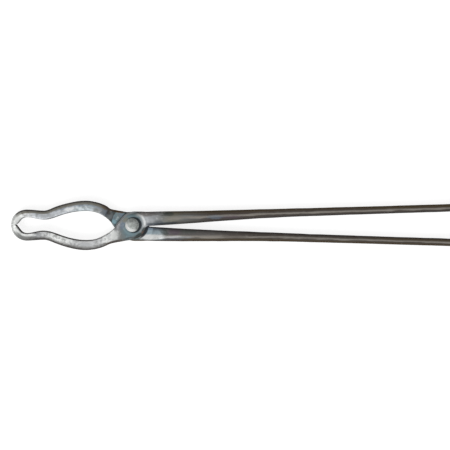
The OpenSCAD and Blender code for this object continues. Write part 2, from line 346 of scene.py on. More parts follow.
def boss_stations(jaw, boss, rein, side, crotch, drop):
    """The places round the boss. Its long side is a parabola that lies at the side's distance at
    both ends, bulges between them and ends at the crotch."""
    reach = math.sqrt(crotch**2 - side**2)
    root_y = rein.root_gap / 2 + rein.root_w + drop
    rounds = [boss.rounding, boss.rounding]
    lapped = [-boss.lap_gap / 2, boss.thickness]
    deg = math.radians

    def along_side(d):
        off = side + boss.bulge * (1 - (d / reach) ** 2)
        return [
            -off * math.sin(boss.slope) + d * math.cos(boss.slope),
            -off * math.cos(boss.slope) - d * math.sin(boss.slope),
            -boss.slope + math.atan(2 * boss.bulge * d / reach**2),
        ]

    def rim(a):
        return [boss.radius * math.cos(deg(a)), boss.radius * math.sin(deg(a)), deg(a - 90)]

    def over_boss(x, rise, slope):
        return [-x * MM, boss.radius + rise * MM - drop, -deg(slope)]

    end = along_side(-reach)
    root_out, shoulder_out, lap_out = over_boss(25, 4.2, 15), over_boss(14, 2, 9), over_boss(7, 0.7, 7)
    corner_in, lap_in = [-1 * MM, 0.6 * MM - root_y, deg(-14)], [9 * MM, 0.1 * MM - root_y, deg(-2)]
    ramp_in = [18 * MM, 0.4 * MM - root_y, deg(-1)]
    ramp_out = [22 * MM, 0.8 * MM - rein.root_gap / 2 - drop, deg(-3)]
    return [
        ([*end[:2], -boss.crotch_slope], root_out, [HALF_T, HALF_T], [boss.rounding, 0.8 * jaw.outer_round]),
        (along_side(5 * MM - reach), shoulder_out, [HALF_T, boss.thickness], [boss.rounding, 0.5 * jaw.outer_round]),
        (along_side(-3 * MM), lap_out, lapped, rounds),
        (along_side(3 * MM), rim(72), lapped, rounds),
        (corner_in, rim(48), lapped, rounds),
        (lap_in, rim(14), lapped, rounds),
        (ramp_in, ramp_out, [-boss.lap_gap / 2, HALF_T], rounds),
    ]


def half_stations(jaw, boss, rein, side, crotch, drop, tip_y):
    """The places that a half passes, from the tip of its jaw above to the end of its rein below.
    Each has an inner and an outer edge, each x, y and heading from the rivet, the height of the
    lap side, the depth of the outside, and the rounding of both edges."""
    eye_r = jaw.eye_d / 2
    nose_r = eye_r + jaw.nose_w
    neck_y = (jaw.neck_gap + jaw.neck_w) / 2
    bow_y = (jaw.bow_gap + jaw.bow_w) / 2
    flank_y = neck_y + jaw.flank_share * (bow_y - neck_y)
    end_y = bow_y - (jaw.bow_reach - jaw.bow_end) * math.tan(jaw.bow_slope / 2)
    upward = math.radians(90)
    full = [HALF_T, HALF_T]
    jaw_edges = [jaw.inner_round, jaw.outer_round]

    def edges(width):
        return [rein.rounding * width] * 2

    tip = [-RIVET_X - eye_r, tip_y, upward], [-RIVET_X - nose_r, tip_y, upward]
    eye_top = [-RIVET_X, eye_r, 0], [-RIVET_X, nose_r, 0]
    neck = beside(-jaw.neck_reach, neck_y, 0, jaw.neck_w)
    flank = beside(-jaw.flank_reach, flank_y, jaw.flank_slope, (jaw.neck_w + jaw.bow_w) / 2)
    bow = beside(-jaw.bow_reach, bow_y - boss.bow_share * drop, 0, jaw.bow_w)
    end_y -= boss.bow_end_share * drop
    bow_end = beside(-jaw.bow_end, end_y, -jaw.bow_slope, jaw.bow_end_w)
    rein_root = rein_edges(rein.root_reach, rein.root_gap, rein.root_w, drop, 0.8, 3.4)
    rein_taper = rein_edges(rein.taper_reach, rein.taper_gap, rein.taper_w, 0, 1.4, 2.3)
    rein_end = rein_edges(rein.reach - rein.end_l, rein.end_gap, rein.end_w, 0, 1.7, 1.7)
    return [
        *((*place, full, jaw_edges) for place in (tip, eye_top, neck, flank, bow, bow_end)),
        *boss_stations(jaw, boss, rein, side, crotch, drop),
        (*rein_root, full, edges(rein.root_w)),
        (*rein_taper, [rein.taper_t / 2] * 2, edges(rein.taper_w)),
        (*rein_end, [rein.end_t / 2] * 2, edges(rein.end_w)),
    ]


JAW_STEP = 0.7 * MM
BOSS_STEP = 0.3 * MM
REIN_STEP = 2 * MM
BOSS_ZONE = 32 * MM
RAMP_ZONE = 60 * MM


def bar_path(stations):
    """The bar's sections as arrays: inner and outer points, heights and roundings. Between two
    stations the edges follow curve and the numbers ease, in steps that are short at the boss."""
    rows = []
    for a, b in zip(stations[:-1], stations[1:]):
        span = max(np.hypot(b[e][0] - a[e][0], b[e][1] - a[e][1]) for e in (0, 1))
        middle = (a[1][0] + b[1][0]) / 2
        pace = BOSS_STEP if abs(middle) < BOSS_ZONE else JAW_STEP
        pace = REIN_STEP if middle > RAMP_ZONE else pace
        t = np.arange(int(math.ceil(span / pace))) / math.ceil(span / pace)
        if not rows:
            t = np.concatenate([[0, 0.002, 0.006, 0.012], t[1:]])
        numbers = [ease(a[i][k], b[i][k], t)[:, None] for i in (2, 3) for k in (0, 1)]
        rows.append(np.hstack([curve(a[0], b[0], t), curve(a[1], b[1], t), *numbers]))
    last = stations[-1]
    rows.append(np.array([[*last[0][:2], *last[1][:2], *last[2], *last[3]]]))
    return np.vstack(rows)


def open_eye(inner, jaw, shift):
    """Moves inner points out to the eye's wall. Round the eye's centre the wall lies at the
    eye's radius, and near the tips on the line that touches the eye and ends in the vee."""
    eye_r = jaw.eye_d / 2
    vee_x = eye_r + jaw.nose_w - jaw.tip_l
    vee_angle = math.acos(eye_r / math.hypot(vee_x, shift)) + math.atan2(shift, vee_x)
    off = inner - [-RIVET_X, 0]
    r = np.hypot(off[:, 0], off[:, 1])
    phi = np.arctan2(off[:, 1], -off[:, 0])
    wall = eye_r / np.cos(np.clip(vee_angle - phi, 0, None))
    return [-RIVET_X, 0] + off * (np.maximum(r, wall) / r)[:, None]


TOP_POINTS = 44
SIDE_POINTS = 8
CORNER_POINTS = 7
BOTTOM_POINTS = 26


def section_points(path, crown, boss):
    """Every section's points as an array of rings, walked from the foot of the inner side up,
    over the lap side, down the outer side and back under the outside. Across the bar a point
    lies at its share of the width. Its height follows the lap side, which is the lower of the
    bar's own height and the shoulder's cone, less the drop of the rounded corner, a quarter of
    an ellipse, and less the crown, a parabola across the bar."""
    arc = np.linspace(0, 1, CORNER_POINTS)
    up = np.linspace(0, 1, SIDE_POINTS + 2)[1:-1]
    over = np.linspace(0, 1, TOP_POINTS + 2)[1:-1]
    back = np.linspace(0, 1, BOTTOM_POINTS + 2)[1:-1]
    inner, outer = path[:, 0:2], path[:, 2:4]
    top, depth, round_in, round_out = (path[:, k][:, None] for k in range(4, 8))
    width = np.hypot(*(outer - inner).T)[:, None]
    near, far = 1 - np.cos(arc * np.pi / 2), 1 - np.sin(arc * np.pi / 2)
    foot = -boss.lap_gap / 2
    rise = (HALF_T + boss.lap_gap) / boss.shoulder_draft

    def place(across):
        return inner[:, None] + (across / width)[..., None] * (outer - inner)[:, None]

    def bend(across):
        return crown[:, None] * width * (2 * across / width - 1) ** 2

    def lap_height(across):
        r = np.hypot(*np.moveaxis(place(across), -1, 0))
        cone = foot + np.maximum(r - boss.radius - boss.shoulder_gap, 0) * rise
        return least(top - bend(across), cone, boss.shoulder_soft)

    def under(across):
        return bend(across) - depth

    zero = np.zeros_like(width)
    ends = (lap_height(zero) - under(zero), lap_height(width) - under(width))
    drop_in, drop_out = np.minimum(round_in, 0.3 * ends[0]), np.minimum(round_out, 0.3 * ends[1])
    rise_in = under(zero) + drop_in + (ends[0] - 2 * drop_in) * up
    fall_out = under(width) + drop_out + (ends[1] - 2 * drop_out) * up[::-1]
    flat = round_in + (width - round_in - round_out) * over
    floor = width - round_out - (width - round_in - round_out) * back
    parts = [
        (round_in * far[::-1], under, drop_in * near[::-1]),
        (zero + 0 * rise_in, None, rise_in),
        (round_in * near, lap_height, -drop_in * far),
        (flat, lap_height, 0 * flat),
        (width - round_out * near[::-1], lap_height, -drop_out * far[::-1]),
        (width + 0 * fall_out, None, fall_out),
        (width - round_out * near, under, drop_out * far),
        (floor, under, 0 * floor),
    ]
    across = np.hstack([part[0] for part in parts])
    height = np.hstack([shift if face is None else face(a) + shift for a, face, shift in parts])
    inset = np.minimum(across, width - across)
    return np.dstack([place(across), height]), across / width, inset


def drawn_in(rings, shares):
    """Rings shrunk towards their own middles, each by its share."""
    middle = (rings.min(axis=1, keepdims=True) + rings.max(axis=1, keepdims=True)) / 2
    return middle + (rings - middle) * shares[:, None, None]


END_TURNS = 9
END_TURN = math.radians(75)
END_SHARE = 0.35


def half_surface(jaw, boss, rein, marks, side, crotch, drop, shift, seed):
    """A forged half, with its jaw above at the left, as rings of points from the rivet's axis.
    The tip's edges are a quarter circle, the rein's end part of an ellipse, and dents and pits
    move the skin inwards along its normal, nowhere on the lap, the eye and the tip."""
    tip_y = jaw.tip_gap / 2 + shift
    path = bar_path(half_stations(jaw, boss, rein, side, crotch, drop, tip_y))
    path[:, 0:2] = open_eye(path[:, 0:2], jaw, shift)
    reach = path[:, 0]
    crown = rein.crown * step(reach, rein.root_reach * 0.7, 2 * rein.root_reach)
    crown += jaw.crown * step(-reach, jaw.bow_end, 1.5 * jaw.bow_end)
    rings, across, inset = section_points(path, crown, boss)
    rise = rings[:, 0, 1] - tip_y
    near = np.clip(1 - rise / jaw.tip_edge, 0, 1) * (np.arange(len(rings)) < 40)
    rings = drawn_in(rings, 1 - 2 * jaw.tip_edge * (1 - np.sqrt(1 - near**2)) / jaw.nose_w)
    turn = np.linspace(0, END_TURN, END_TURNS + 1)[1:]
    ends = drawn_in(np.repeat(rings[-1:], END_TURNS, axis=0), END_SHARE + (1 - END_SHARE) * np.cos(turn))
    ends[..., 0] += rein.end_l * np.sin(turn)[:, None]
    rings = np.concatenate([rings, ends])
    across = np.vstack([across, np.repeat(across[-1:], END_TURNS, axis=0)])
    inset = np.vstack([inset, np.repeat(inset[-1:], END_TURNS, axis=0)])

    along = np.gradient(rings, axis=0)
    around = np.roll(rings, -1, axis=1) - np.roll(rings, 1, axis=1)
    normal = np.cross(along, around)
    normal /= np.linalg.norm(normal, axis=-1, keepdims=True) + 1e-12
    x, y, z = np.moveaxis(rings, -1, 0)
    r = np.hypot(x, y)
    eye = np.hypot(x + RIVET_X, y)
    keep_lap = step(r, 27 * MM, 31 * MM) + step(-z, 1 * MM, 3 * MM)
    keep_eye = step(eye, jaw.eye_d / 2 + 0.3 * MM, jaw.eye_d / 2 + 2 * MM)
    keep_tip = step(y - tip_y, 0.5 * MM, 3 * MM) + step(x, -RIVET_X, -RIVET_X + 5 * MM)
    keep_seat = step(r, 9.5 * MM, 12 * MM)
    keep_end = step(rein.reach - rein.end_l - x, 0, 3 * MM)
    keep = np.clip(keep_lap, 0, 1) * keep_eye * np.clip(keep_tip, 0, 1) * keep_seat * keep_end
    dents = soft_noise(rings * [0.6, 1, 1], marks.dent_l, seed) ** 2 * marks.dent
    pits = soft_noise(rings, marks.pit_l, seed + 3) * marks.pit
    rings = rings - normal * (keep * (dents + pits))[..., None]
    rings[..., 2] = np.clip(rings[..., 2], -HALF_T, HALF_T)
    return rings, across, inset, 1 - np.abs(normal[..., 2])


def ring_mesh(name, rings, attributes):
    """A closed mesh over rings that have the same number of points, with a fan at both ends.
    It is turned the right way round if its volume comes out negative."""
    m, n = rings.shape[:2]
    caps = np.stack([rings[0].mean(axis=0), rings[-1].mean(axis=0)])
    points = np.vstack([rings.reshape(-1, 3), caps])
    index = np.arange(m * n).reshape(m, n)
    after = np.roll(index, -1, axis=1)
    quads = np.stack([index[:-1], after[:-1], after[1:], index[1:]], axis=-1).reshape(-1, 4)
    first = np.stack([after[0], index[0], np.full(n, m * n)], axis=-1)
    last = np.stack([index[-1], after[-1], np.full(n, m * n + 1)], axis=-1)
    faces = [quads, first, last]
    tris = np.vstack([quads[:, [0, 1, 2]], quads[:, [0, 2, 3]], first, last])
    a, b, c = points[tris[:, 0]], points[tris[:, 1]], points[tris[:, 2]]
    if np.einsum("ij,ij->i", a, np.cross(b, c)).sum() < 0:
        faces = [f[:, ::-1] for f in faces]
    mesh = bpy.data.meshes.new(name)
    mesh.from_pydata(points.tolist(), [], [f for part in faces for f in part.tolist()])
    for key, values in attributes.items():
        ends = [values[0].mean(), values[-1].mean()]
        layer = mesh.attributes.new(key, "FLOAT", "POINT")
        layer.data.foreach_set("value", np.concatenate([values.ravel(), ends]).astype(np.float32))
    return mesh


def add_piece(name, mesh):
    """Links a mesh as an object at the origin."""
    piece = bpy.data.objects.new(name, mesh)
    bpy.context.scene.collection.objects.link(piece)
    return piece


def cylinder_mesh(name, radius, half_height, count):
    """An upright round bar about the rivet's axis, as two rings and two fans."""
    turn = np.linspace(0, 2 * np.pi, count, endpoint=False)
    circle = np.stack([RIVET_X + radius * np.cos(turn), radius * np.sin(turn)], axis=-1)
    rings = np.stack([np.column_stack([circle, np.full(count, z)]) for z in (-half_height, half_height)])
    return ring_mesh(name, rings, {})


BORE_FACETS = 128


def bored(piece, radius):
    """Drills the rivet's hole through a piece with a Boolean modifier, and keeps the result."""
    drill = add_piece("drill", cylinder_mesh("drill", radius, 3 * HALF_T, BORE_FACETS))
    cut = piece.modifiers.new("bore", "BOOLEAN")
    cut.operation = "DIFFERENCE"
    cut.solver = "MANIFOLD"
    cut.object = drill
    graph = bpy.context.evaluated_depsgraph_get()
    mesh = bpy.data.meshes.new_from_object(piece.evaluated_get(graph))
    piece.modifiers.clear()
    old = piece.data
    piece.data = mesh
    bpy.data.meshes.remove(old)
    bpy.data.objects.remove(drill)


CREASE = math.radians(38)


def finished(piece, material):
    """Smooth shading with true creases, and the piece's material."""
    piece.data.polygons.foreach_set("use_smooth", np.ones(len(piece.data.polygons), bool))
    piece.data.set_sharp_from_angle(angle=CREASE)
    piece.data.materials.clear()
    piece.data.materials.append(material)


class Socket:
    """A node's output that takes part in sums and products, each of which adds a Math node."""

    def __init__(self, shop, socket):
        self.shop = shop
        self.socket = socket

    def math(self, operation, first, second):
        return self.shop.node("ShaderNodeMath", {"operation": operation}, {0: first, 1: second})

    def __add__(self, other):
        return self.math("ADD", self, other)

    def __radd__(self, other):
        return self.math("ADD", other, self)

    def __sub__(self, other):
        return self.math("SUBTRACT", self, other)

    def __rsub__(self, other):
        return self.math("SUBTRACT", other, self)

    def __mul__(self, other):
        return self.math("MULTIPLY", self, other)

    def __rmul__(self, other):
        return self.math("MULTIPLY", other, self)


class Shop:
    """Makes the nodes of one material or world."""

    def __init__(self, owner):
        owner.use_nodes = True
        self.owner = owner
        self.tree = owner.node_tree
        self.tree.nodes.clear()

    def node(self, kind, settings=None, inputs=None, output=0):
        """Adds a node: its settings or a ramp's stops first, then its sockets' values or links."""
        made = self.tree.nodes.new(kind)
        for key, value in (settings or {}).items():
            if key == "stops":
                self.fill(made.color_ramp.elements, value)
            else:
                setattr(made, key, value)
        for key, value in (inputs or {}).items():
            socket = made.inputs[key]
            if isinstance(value, Socket):
                self.tree.links.new(value.socket, socket)
            else:
                socket.default_value = value
        return Socket(self, made.outputs[output]) if made.outputs else None

    def fill(self, elements, stops):
        """Sets a ramp's stops, each a position and a colour."""
        while len(elements) < len(stops):
            elements.new(1.0)
        for element, (position, shade) in zip(elements, stops):
            element.position = position
            element.color = opaque(shade)

    def place(self):
        """Object coordinates."""
        return self.node("ShaderNodeTexCoord", output="Object")

    def from_rivet(self, place, x, y):
        """The way to a place from a point beside the rivet, given in millimetres."""
        point = (RIVET_X + x * MM, y * MM, 0)
        return self.node("ShaderNodeVectorMath", {"operation": "SUBTRACT"}, {0: place, 1: point})

    def along(self, place, way):
        """How far a place lies from the rivet along a direction."""
        off = self.from_rivet(place, 0, 0)
        return self.node("ShaderNodeVectorMath", {"operation": "DOT_PRODUCT"}, {0: off, 1: way}, "Value")

    def away(self, place, x, y):
        """How far a place lies from an upright line beside the rivet, given in millimetres."""
        flat = self.scaled(self.from_rivet(place, x, y), (1, 1, 0))
        return self.node("ShaderNodeVectorMath", {"operation": "LENGTH"}, {0: flat}, "Value")

    def scaled(self, place, factors):
        """A place multiplied by a factor along each axis."""
        return self.node("ShaderNodeVectorMath", {"operation": "MULTIPLY"}, {0: place, 1: factors})

    def noise(self, place, size, detail=3.0, rough=0.55):
        """Noise whose blobs are about size across, in metres."""
        return self.node(
            "ShaderNodeTexNoise",
            {},
            {"Vector": place, "Scale": 1 / size, "Detail": detail, "Roughness": rough},
        )

    def ramp(self, value, low, high, low_out=0.0, high_out=1.0):
        """A cubic ease from low_out to high_out as value goes from low to high."""
        return self.node(
            "ShaderNodeMapRange",
            {"interpolation_type": "SMOOTHSTEP"},
            {"Value": value, "From Min": low, "From Max": high, "To Min": low_out, "To Max": high_out},
        )

    def band(self, value, low, high, soft):
        """1 between low and high, easing to 0 over soft on both sides."""
        return self.ramp(value, low - soft, low) * self.ramp(value, high + soft, high)

    def mix(self, share, first, second):
        """The second colour over the first, by a share."""
        inputs = {"Factor": share, 6: opaque(first), 7: opaque(second)}
        return self.node("ShaderNodeMix", {"data_type": "RGBA"}, inputs, 2)

    def run(self, value, stops):
        """Colours that follow one another along a value, each at its own place."""
        low, high = stops[0][0], stops[-1][0]
        share = self.node("ShaderNodeMapRange", {}, {"Value": value, "From Min": low, "From Max": high})
        places = [((at - low) / (high - low), shade) for at, shade in stops]
        return self.node("ShaderNodeValToRGB", {"stops": places}, {0: share})

    def spot(self, place, x, y, long, wide, turn, ragged):
        """1 inside an upright oval post, easing to 0 round its wall, which noise makes ragged."""
        settled = self.node(
            "ShaderNodeMapping",
            {"vector_type": "TEXTURE"},
            {
                "Vector": place,
                "Location": (RIVET_X + x * MM, y * MM, 0),
                "Rotation": (0, 0, math.radians(turn)),
                "Scale": (long * MM, wide * MM, 1),
            },
        )
        flat = self.scaled(settled, (1, 1, 0))
        away = self.node("ShaderNodeVectorMath", {"operation": "LENGTH"}, {0: flat}, "Value")
        return self.ramp(away + ragged, 1.35, 0.55)

    def attribute(self, name):
        """A number that the mesh holds at each point."""
        return self.node("ShaderNodeAttribute", {"attribute_name": name}, {}, "Fac")

    def steel(self, base, metallic, roughness, height, relief):
        """Closes the material: a Principled shader with a Bump of that height, in metres."""
        normal = self.node(
            "ShaderNodeBump", {}, {"Height": height, "Distance": relief, "Strength": 1.0}
        )
        shader = self.node(
            "ShaderNodeBsdfPrincipled",
            {},
            {
                "Base Color": base,
                "Metallic": metallic,
                "Roughness": roughness,
                "Normal": normal,
                "Specular IOR Level": 0.0,
                "Specular Tint": (0.5, 0.5, 0.5, 1.0),
            },
        )
        self.node("ShaderNodeOutputMaterial", {}, {"Surface": shader})
        return self.owner


def opaque(value):
    """A colour with its alpha, or a link as it is."""
    return value if isinstance(value, Socket) else (*value, 1.0)


# The side that the top boss's long side faces, and the side from which the light falls on the rivet, where its
# head's rim gets a painted highlight
LONG_SIDE = (-math.sin(math.radians(48)), math.cos(math.radians(48)), 0)
LIT_SIDE = (-0.6, -0.8, 0)
# Colours along each half, by their distance from the rivet in millimetres
TOP_RUN = [
    (-143, "bright"), (-122, "bright"), (-112, "grey"), (-104, "silver"), (-90, "bright"),
    (-80, "bright"), (-70, "silver"), (-36, "silver"), (-30, "bright"), (-24, "silver"), (-18, "grey"),
    (-14, "ash"), (-6, "teal"), (6, "teal"), (12, "grey"), (24, "grey"), (36, "ash"), (48, "khaki"),
    (62, "ash"), (92, "scale"), (457, "scale"),
]
BOTTOM_RUN = [
    (-143, "bright"), (-132, "bright"), (-121, "silver"), (-115, "satin"), (-74, "satin"), (-62, "frost"),
    # At -29 the run's slate is painted shade on the bottom jaw's shoulder slope.
    (-50, "frost"), (-40, "grey"), (-34, "ash"), (-29, "slate"), (-25, "teal"), (10, "teal"),
    (20, "frost"), (32, "frost"), (40, "ash"), (46, "iron"), (80, "iron"), (140, "scale"),
    (457, "scale"),
]
# Marks on each half: x and y from the rivet, half length, half width, turn, colour and strength
TOP_MARKS = [
    # The first three marks are painted light on the top jaw's nose: painted shade on its outer rounding and a
    # painted highlight along its face.
    (-133.5, -12.3, 7, 2.6, -42, "ash", 0.7),
    (-127, -14.2, 6, 1.8, -20, "ash", 0.5),
    (-122, -11.2, 8, 1.5, 0, "bright", 0.8),
    (-73, -18.6, 5, 1.6, -14, "bright", 0.6),
    (-56, -23, 8, 1.8, 0, "grey", 0.5),
    (-33, -19.8, 4, 1.4, 25, "bright", 0.4),
    # A painted highlight on the slope of the top jaw's root.
    (-21.6, -11.6, 6.2, 6.5, 25, "bright", 0.85),
    (-28, -12, 3, 3.4, 0, "grey", 0.5),
    (-20, -19.4, 14, 1.6, 12, "scale", 0.9),
    (-3, -9, 9, 6, -15, "teal", 0.8),
    (-11.7, 0, 2.6, 6, -20, "blue", 0.7),
    (-8.1, 6, 4, 2.2, 40, "khaki", 0.8),
    # This mark and the one at (16, 13.4) below are painted shade along the upper edge of the top boss and its rein
    # root, which turns away from the light.
    (-2, 13.2, 9, 2, 0, "pine", 0.35),
    (7.4, -12.4, 6.5, 2.4, 34, "pine", 0.95),
    (13, -6.2, 4.5, 2, 60, "pine", 0.85),
    (0, -15, 9, 1.6, 8, "shade", 0.6),
    (12.4, -8.2, 2.2, 1.3, 50, "rust", 0.5),
    (16, 13.4, 14, 3.2, 0, "scale", 0.75),
    # The navy mark is painted shade in the fork between the reins.
    (31, 3.2, 6, 2.4, 0, "navy", 0.5),
    (43, 13, 6, 2.4, 0, "pine", 0.7),
    (98, 9.5, 11, 2.2, 2, "blue", 0.5),
    (117, 9.6, 13, 2.2, 2, "plum", 0.35),
]
BOTTOM_MARKS = [
    (-73, 19.3, 7, 2.2, 14, "bright", 0.5),
    # The slate mark here and the dark mark at (-28, 14.5) are painted shade on the shoulder slope of the bottom jaw.
    (-33, 13, 5, 6, -38, "slate", 0.5),
    (-42.5, 17, 3.4, 3.5, -30, "ash", 0.7),
    (-99, 9.4, 9, 2.6, -5, "grey", 0.8),
    (-27.5, 9.5, 4, 6, -38, "frost", 0.5),
    (-26.2, 9.4, 2.6, 4.4, -38, "frost", 0.7),
    (-28, 14.5, 3, 2, -38, "shade", 0.5),
    # A painted highlight in a cyan temper tint, where the shoulder beside the boss catches the light.
    (-21.5, 4.2, 3.4, 2.4, -60, "cyan", 0.8),
    (-22, 7.9, 1.6, 2.2, 20, "slate", 0.5),
    (-12.5, 11.5, 5, 2, -40, "blue", 0.6),
    (-18, 16.6, 9, 1.8, -11, "bronze", 0.95),
    (-31, 20.5, 6, 3, -34, "bronze", 0.5),
    (7, -18.2, 14, 1.6, 0, "bronze", 0.7),
    # On the ramp of the lower rein's root: a pale temper tint made lighter as painted light, and below it a bright
    # strip that is a painted highlight.
    (22, -8.0, 14, 3.6, 0, "ice", 0.7),
    (25, -3.6, 12, 2.6, 0, "blue", 0.75),
    (22, -14.0, 15, 3.2, 0, "bright", 0.95),
    (26, -18.3, 16, 1.1, 0, "scale", 0.8),
    (37.5, -8, 6, 3.4, -25, "pine", 0.7),
    # These two marks are a painted highlight along the ridge of the lower rein.
    (56, -14.4, 14, 1.5, 0, "grey", 0.6),
    (47, -13.9, 12, 1.3, 2, "silver", 0.6),
    (48, -17, 15, 1.4, 0, "slate", 0.6),
    (121, -13.6, 17, 2.2, 0, "scale", 0.55),
    (50, -7.8, 8, 4, 0, "plum", 0.5),
    (66, -6.8, 10, 3.4, 0, "green", 0.35),
]


def forged_steel(name, colours, top):
    """The steel of a half. Its colours run along the bar from the bright tip over the temper
    colours of the boss to the scale of the rein. Over them lie marks, some of them painted
    highlights and painted shade, painted shade along the jaw's outer rounding and on edges that
    turn away from the light, a stripe of rubbed scale and painted sheen along the rein, painted
    light beside the rivet, painted shadow round the boss and painted shade in the fork, with
    ragged borders."""
    shop = Shop(bpy.data.materials.new(name))
    place = shop.place()
    across = shop.attribute("across")
    side = shop.attribute("side")
    inset = shop.attribute("inset")
    broad = shop.noise(place, 0.020, 2.0)
    blotch = shop.noise(place, 0.0055, 3.0, 0.6)
    fleck = shop.noise(place, 0.0036, 1.5, 0.5)
    grain = shop.noise(shop.scaled(place, (1.0, 1.8, 1.8)), 0.0018, 4.0, 0.65)
    streak = shop.noise(shop.scaled(place, (0.18, 1.2, 1.2)), 0.0045, 3.0, 0.6)
    straight = shop.along(place, (1, 0, 0))
    reach = straight + (broad - 0.5) * 0.008 + (blotch - 0.5) * 0.004
    ragged = (blotch - 0.5) * 0.9 + (fleck - 0.5) * 0.5
    on_jaw = shop.ramp(reach, -0.028, -0.036)
    on_rein = shop.ramp(reach, 0.026, 0.056)
    on_boss = shop.band(straight, -0.018, 0.028, 0.006)

    run = TOP_RUN if top else BOTTOM_RUN
    tone = shop.run(reach, [(at * MM, getattr(colours, key)) for at, key in run])
    off_tip = shop.ramp(reach, -0.140, -0.128)
    mottle = shop.ramp(broad, 0.38, 0.58, 0.35, 1.0) * (1 - on_rein) * (0.35 + off_tip * 0.65)
    tone = shop.mix(shop.ramp(fleck, 0.46, 0.30) * mottle * 0.35, tone, colours.bright)
    tone = shop.mix(shop.ramp(blotch, 0.44, 0.66) * mottle * 0.45, tone, colours.ash)
    tone = shop.mix(shop.ramp(fleck, 0.50, 0.66) * (mottle * 0.45 + on_rein * 0.15), tone, colours.ash)
    wavy = across + ragged * 0.08
    # Painted shade along the jaw's outer rounding, which turns away from the light: dark steel on the top jaw, jaw
    # scale on the bottom jaw.
    if top:
        wavy = wavy + shop.ramp(reach, -0.108, -0.120, 0, -0.16)
        band = shop.ramp(wavy, 0.52, 0.20) * on_jaw * off_tip
        tone = shop.mix(band * shop.ramp(reach, -0.040, -0.075, 0.5, 0.76), tone, colours.shade)
    else:
        wavy = wavy + shop.ramp(reach, -0.112, -0.124, 0, 0.12)
        tint = shop.band(wavy, 0.50, 0.60, 0.08) * shop.band(reach, -0.085, -0.036, 0.010)
        tone = shop.mix(tint * 0.5, tone, colours.blue)
        band = shop.ramp(wavy, 0.53, 0.68) * on_jaw * off_tip
        tone = shop.mix(band * 0.85, tone, colours.moss)
    # Along the rein: a stripe of rubbed scale and painted sheen, set towards the lit side, and painted shade on the
    # rounding below it.
    wobble = across + (streak - 0.5) * 0.35
    if not top:
        wobble = wobble + shop.ramp(reach, 0.170, 0.070, 0, 0.08)
    stripe = shop.ramp(wobble, 0.33, 0.42) * shop.ramp(wobble, 0.64, 0.50) * on_rein
    tone = shop.mix(stripe * shop.ramp(streak, 0.25, 0.6, 0.6, 0.95), tone, colours.rub_and_sheen)
    tone = shop.mix(shop.ramp(wobble, 0.36, 0.26) * on_rein * 0.5, tone, colours.shade)
    outer = across if top else 1 - across
    tone = shop.mix(shop.ramp(outer, 0.66, 0.9) * on_rein * 0.7, tone, colours.olive)
    warm = shop.ramp(across, 0.45, 0.75) * shop.ramp(straight, 0.250, 0.310)
    tone = shop.mix(warm * 0.55, tone, colours.olive)
    for mark_x, mark_y, long, wide, turn, key, strength in TOP_MARKS if top else BOTTOM_MARKS:
        spot = shop.spot(place, mark_x, mark_y, long, wide, turn, ragged)
        tone = shop.mix(spot * strength, tone, getattr(colours, key))

    beside_lap = shop.along(place, LONG_SIDE)
    if top:
        # A painted highlight along the chamfer of the top boss's long side, in the silver of worn steel.
        chamfer = shop.band(inset, 0.0008, 0.0020, 0.0008) * shop.ramp(beside_lap, 0.005, 0.010)
        tone = shop.mix(chamfer * on_boss * 0.45, tone, colours.silver)
        # worn is a crescent of painted light on the top boss's face, right of the rivet's head, where the face
        # catches the light.
        worn = shop.band(shop.away(place, 4.2, 1.9) + ragged * 0.0030, 0.0100, 0.0108, 0.0022)
        worn = worn * shop.ramp(straight, 0.002, 0.013) * shop.ramp(shop.along(place, (0, 1, 0)), -0.004, 0.001)
        tone = shop.mix(worn * 0.45, tone, colours.bright)
        # Painted shadow round the rivet's head, set off to its right, where the head's shadow falls.
        painted_shadow_mask = shop.ramp(shop.away(place, 1.8, 0.2) + ragged * 0.0010, 0.0102, 0.0088)
        # fork is painted shade along the top rein's inner edge, in the fork between the reins.
        fork = shop.ramp(across, 0.27, 0.13) * shop.band(straight, 0.020, 0.050, 0.006)
    else:
        # Painted shadow on the bottom half: a ring round the top boss's rounded side and a line along its long side,
        # where the top boss casts its shadow.
        ring = shop.band(shop.away(place, 1.6, 0.1), 0.0150, 0.0172, 0.0012)
        painted_shadow_mask = ring * shop.ramp(straight, 0.004, 0.012)
        lap_line = shop.band(beside_lap, 0.0130, 0.0158, 0.0010) * shop.ramp(straight, 0.004, -0.004)
        painted_shadow_mask = painted_shadow_mask + lap_line * 0.5
        # fork is painted shade along the bottom rein's inner edge, in the fork between the reins.
        fork = shop.ramp(across, 0.84, 0.94) * shop.band(straight, 0.016, 0.042, 0.006)
    # The painted shadow is laid over the tone here.
    tone = shop.mix(painted_shadow_mask * 0.9, tone, colours.painted_shadow)
    # Painted shade in the fork, in a navy scale tint.
    tone = shop.mix(fork * 0.85, tone, colours.navy)

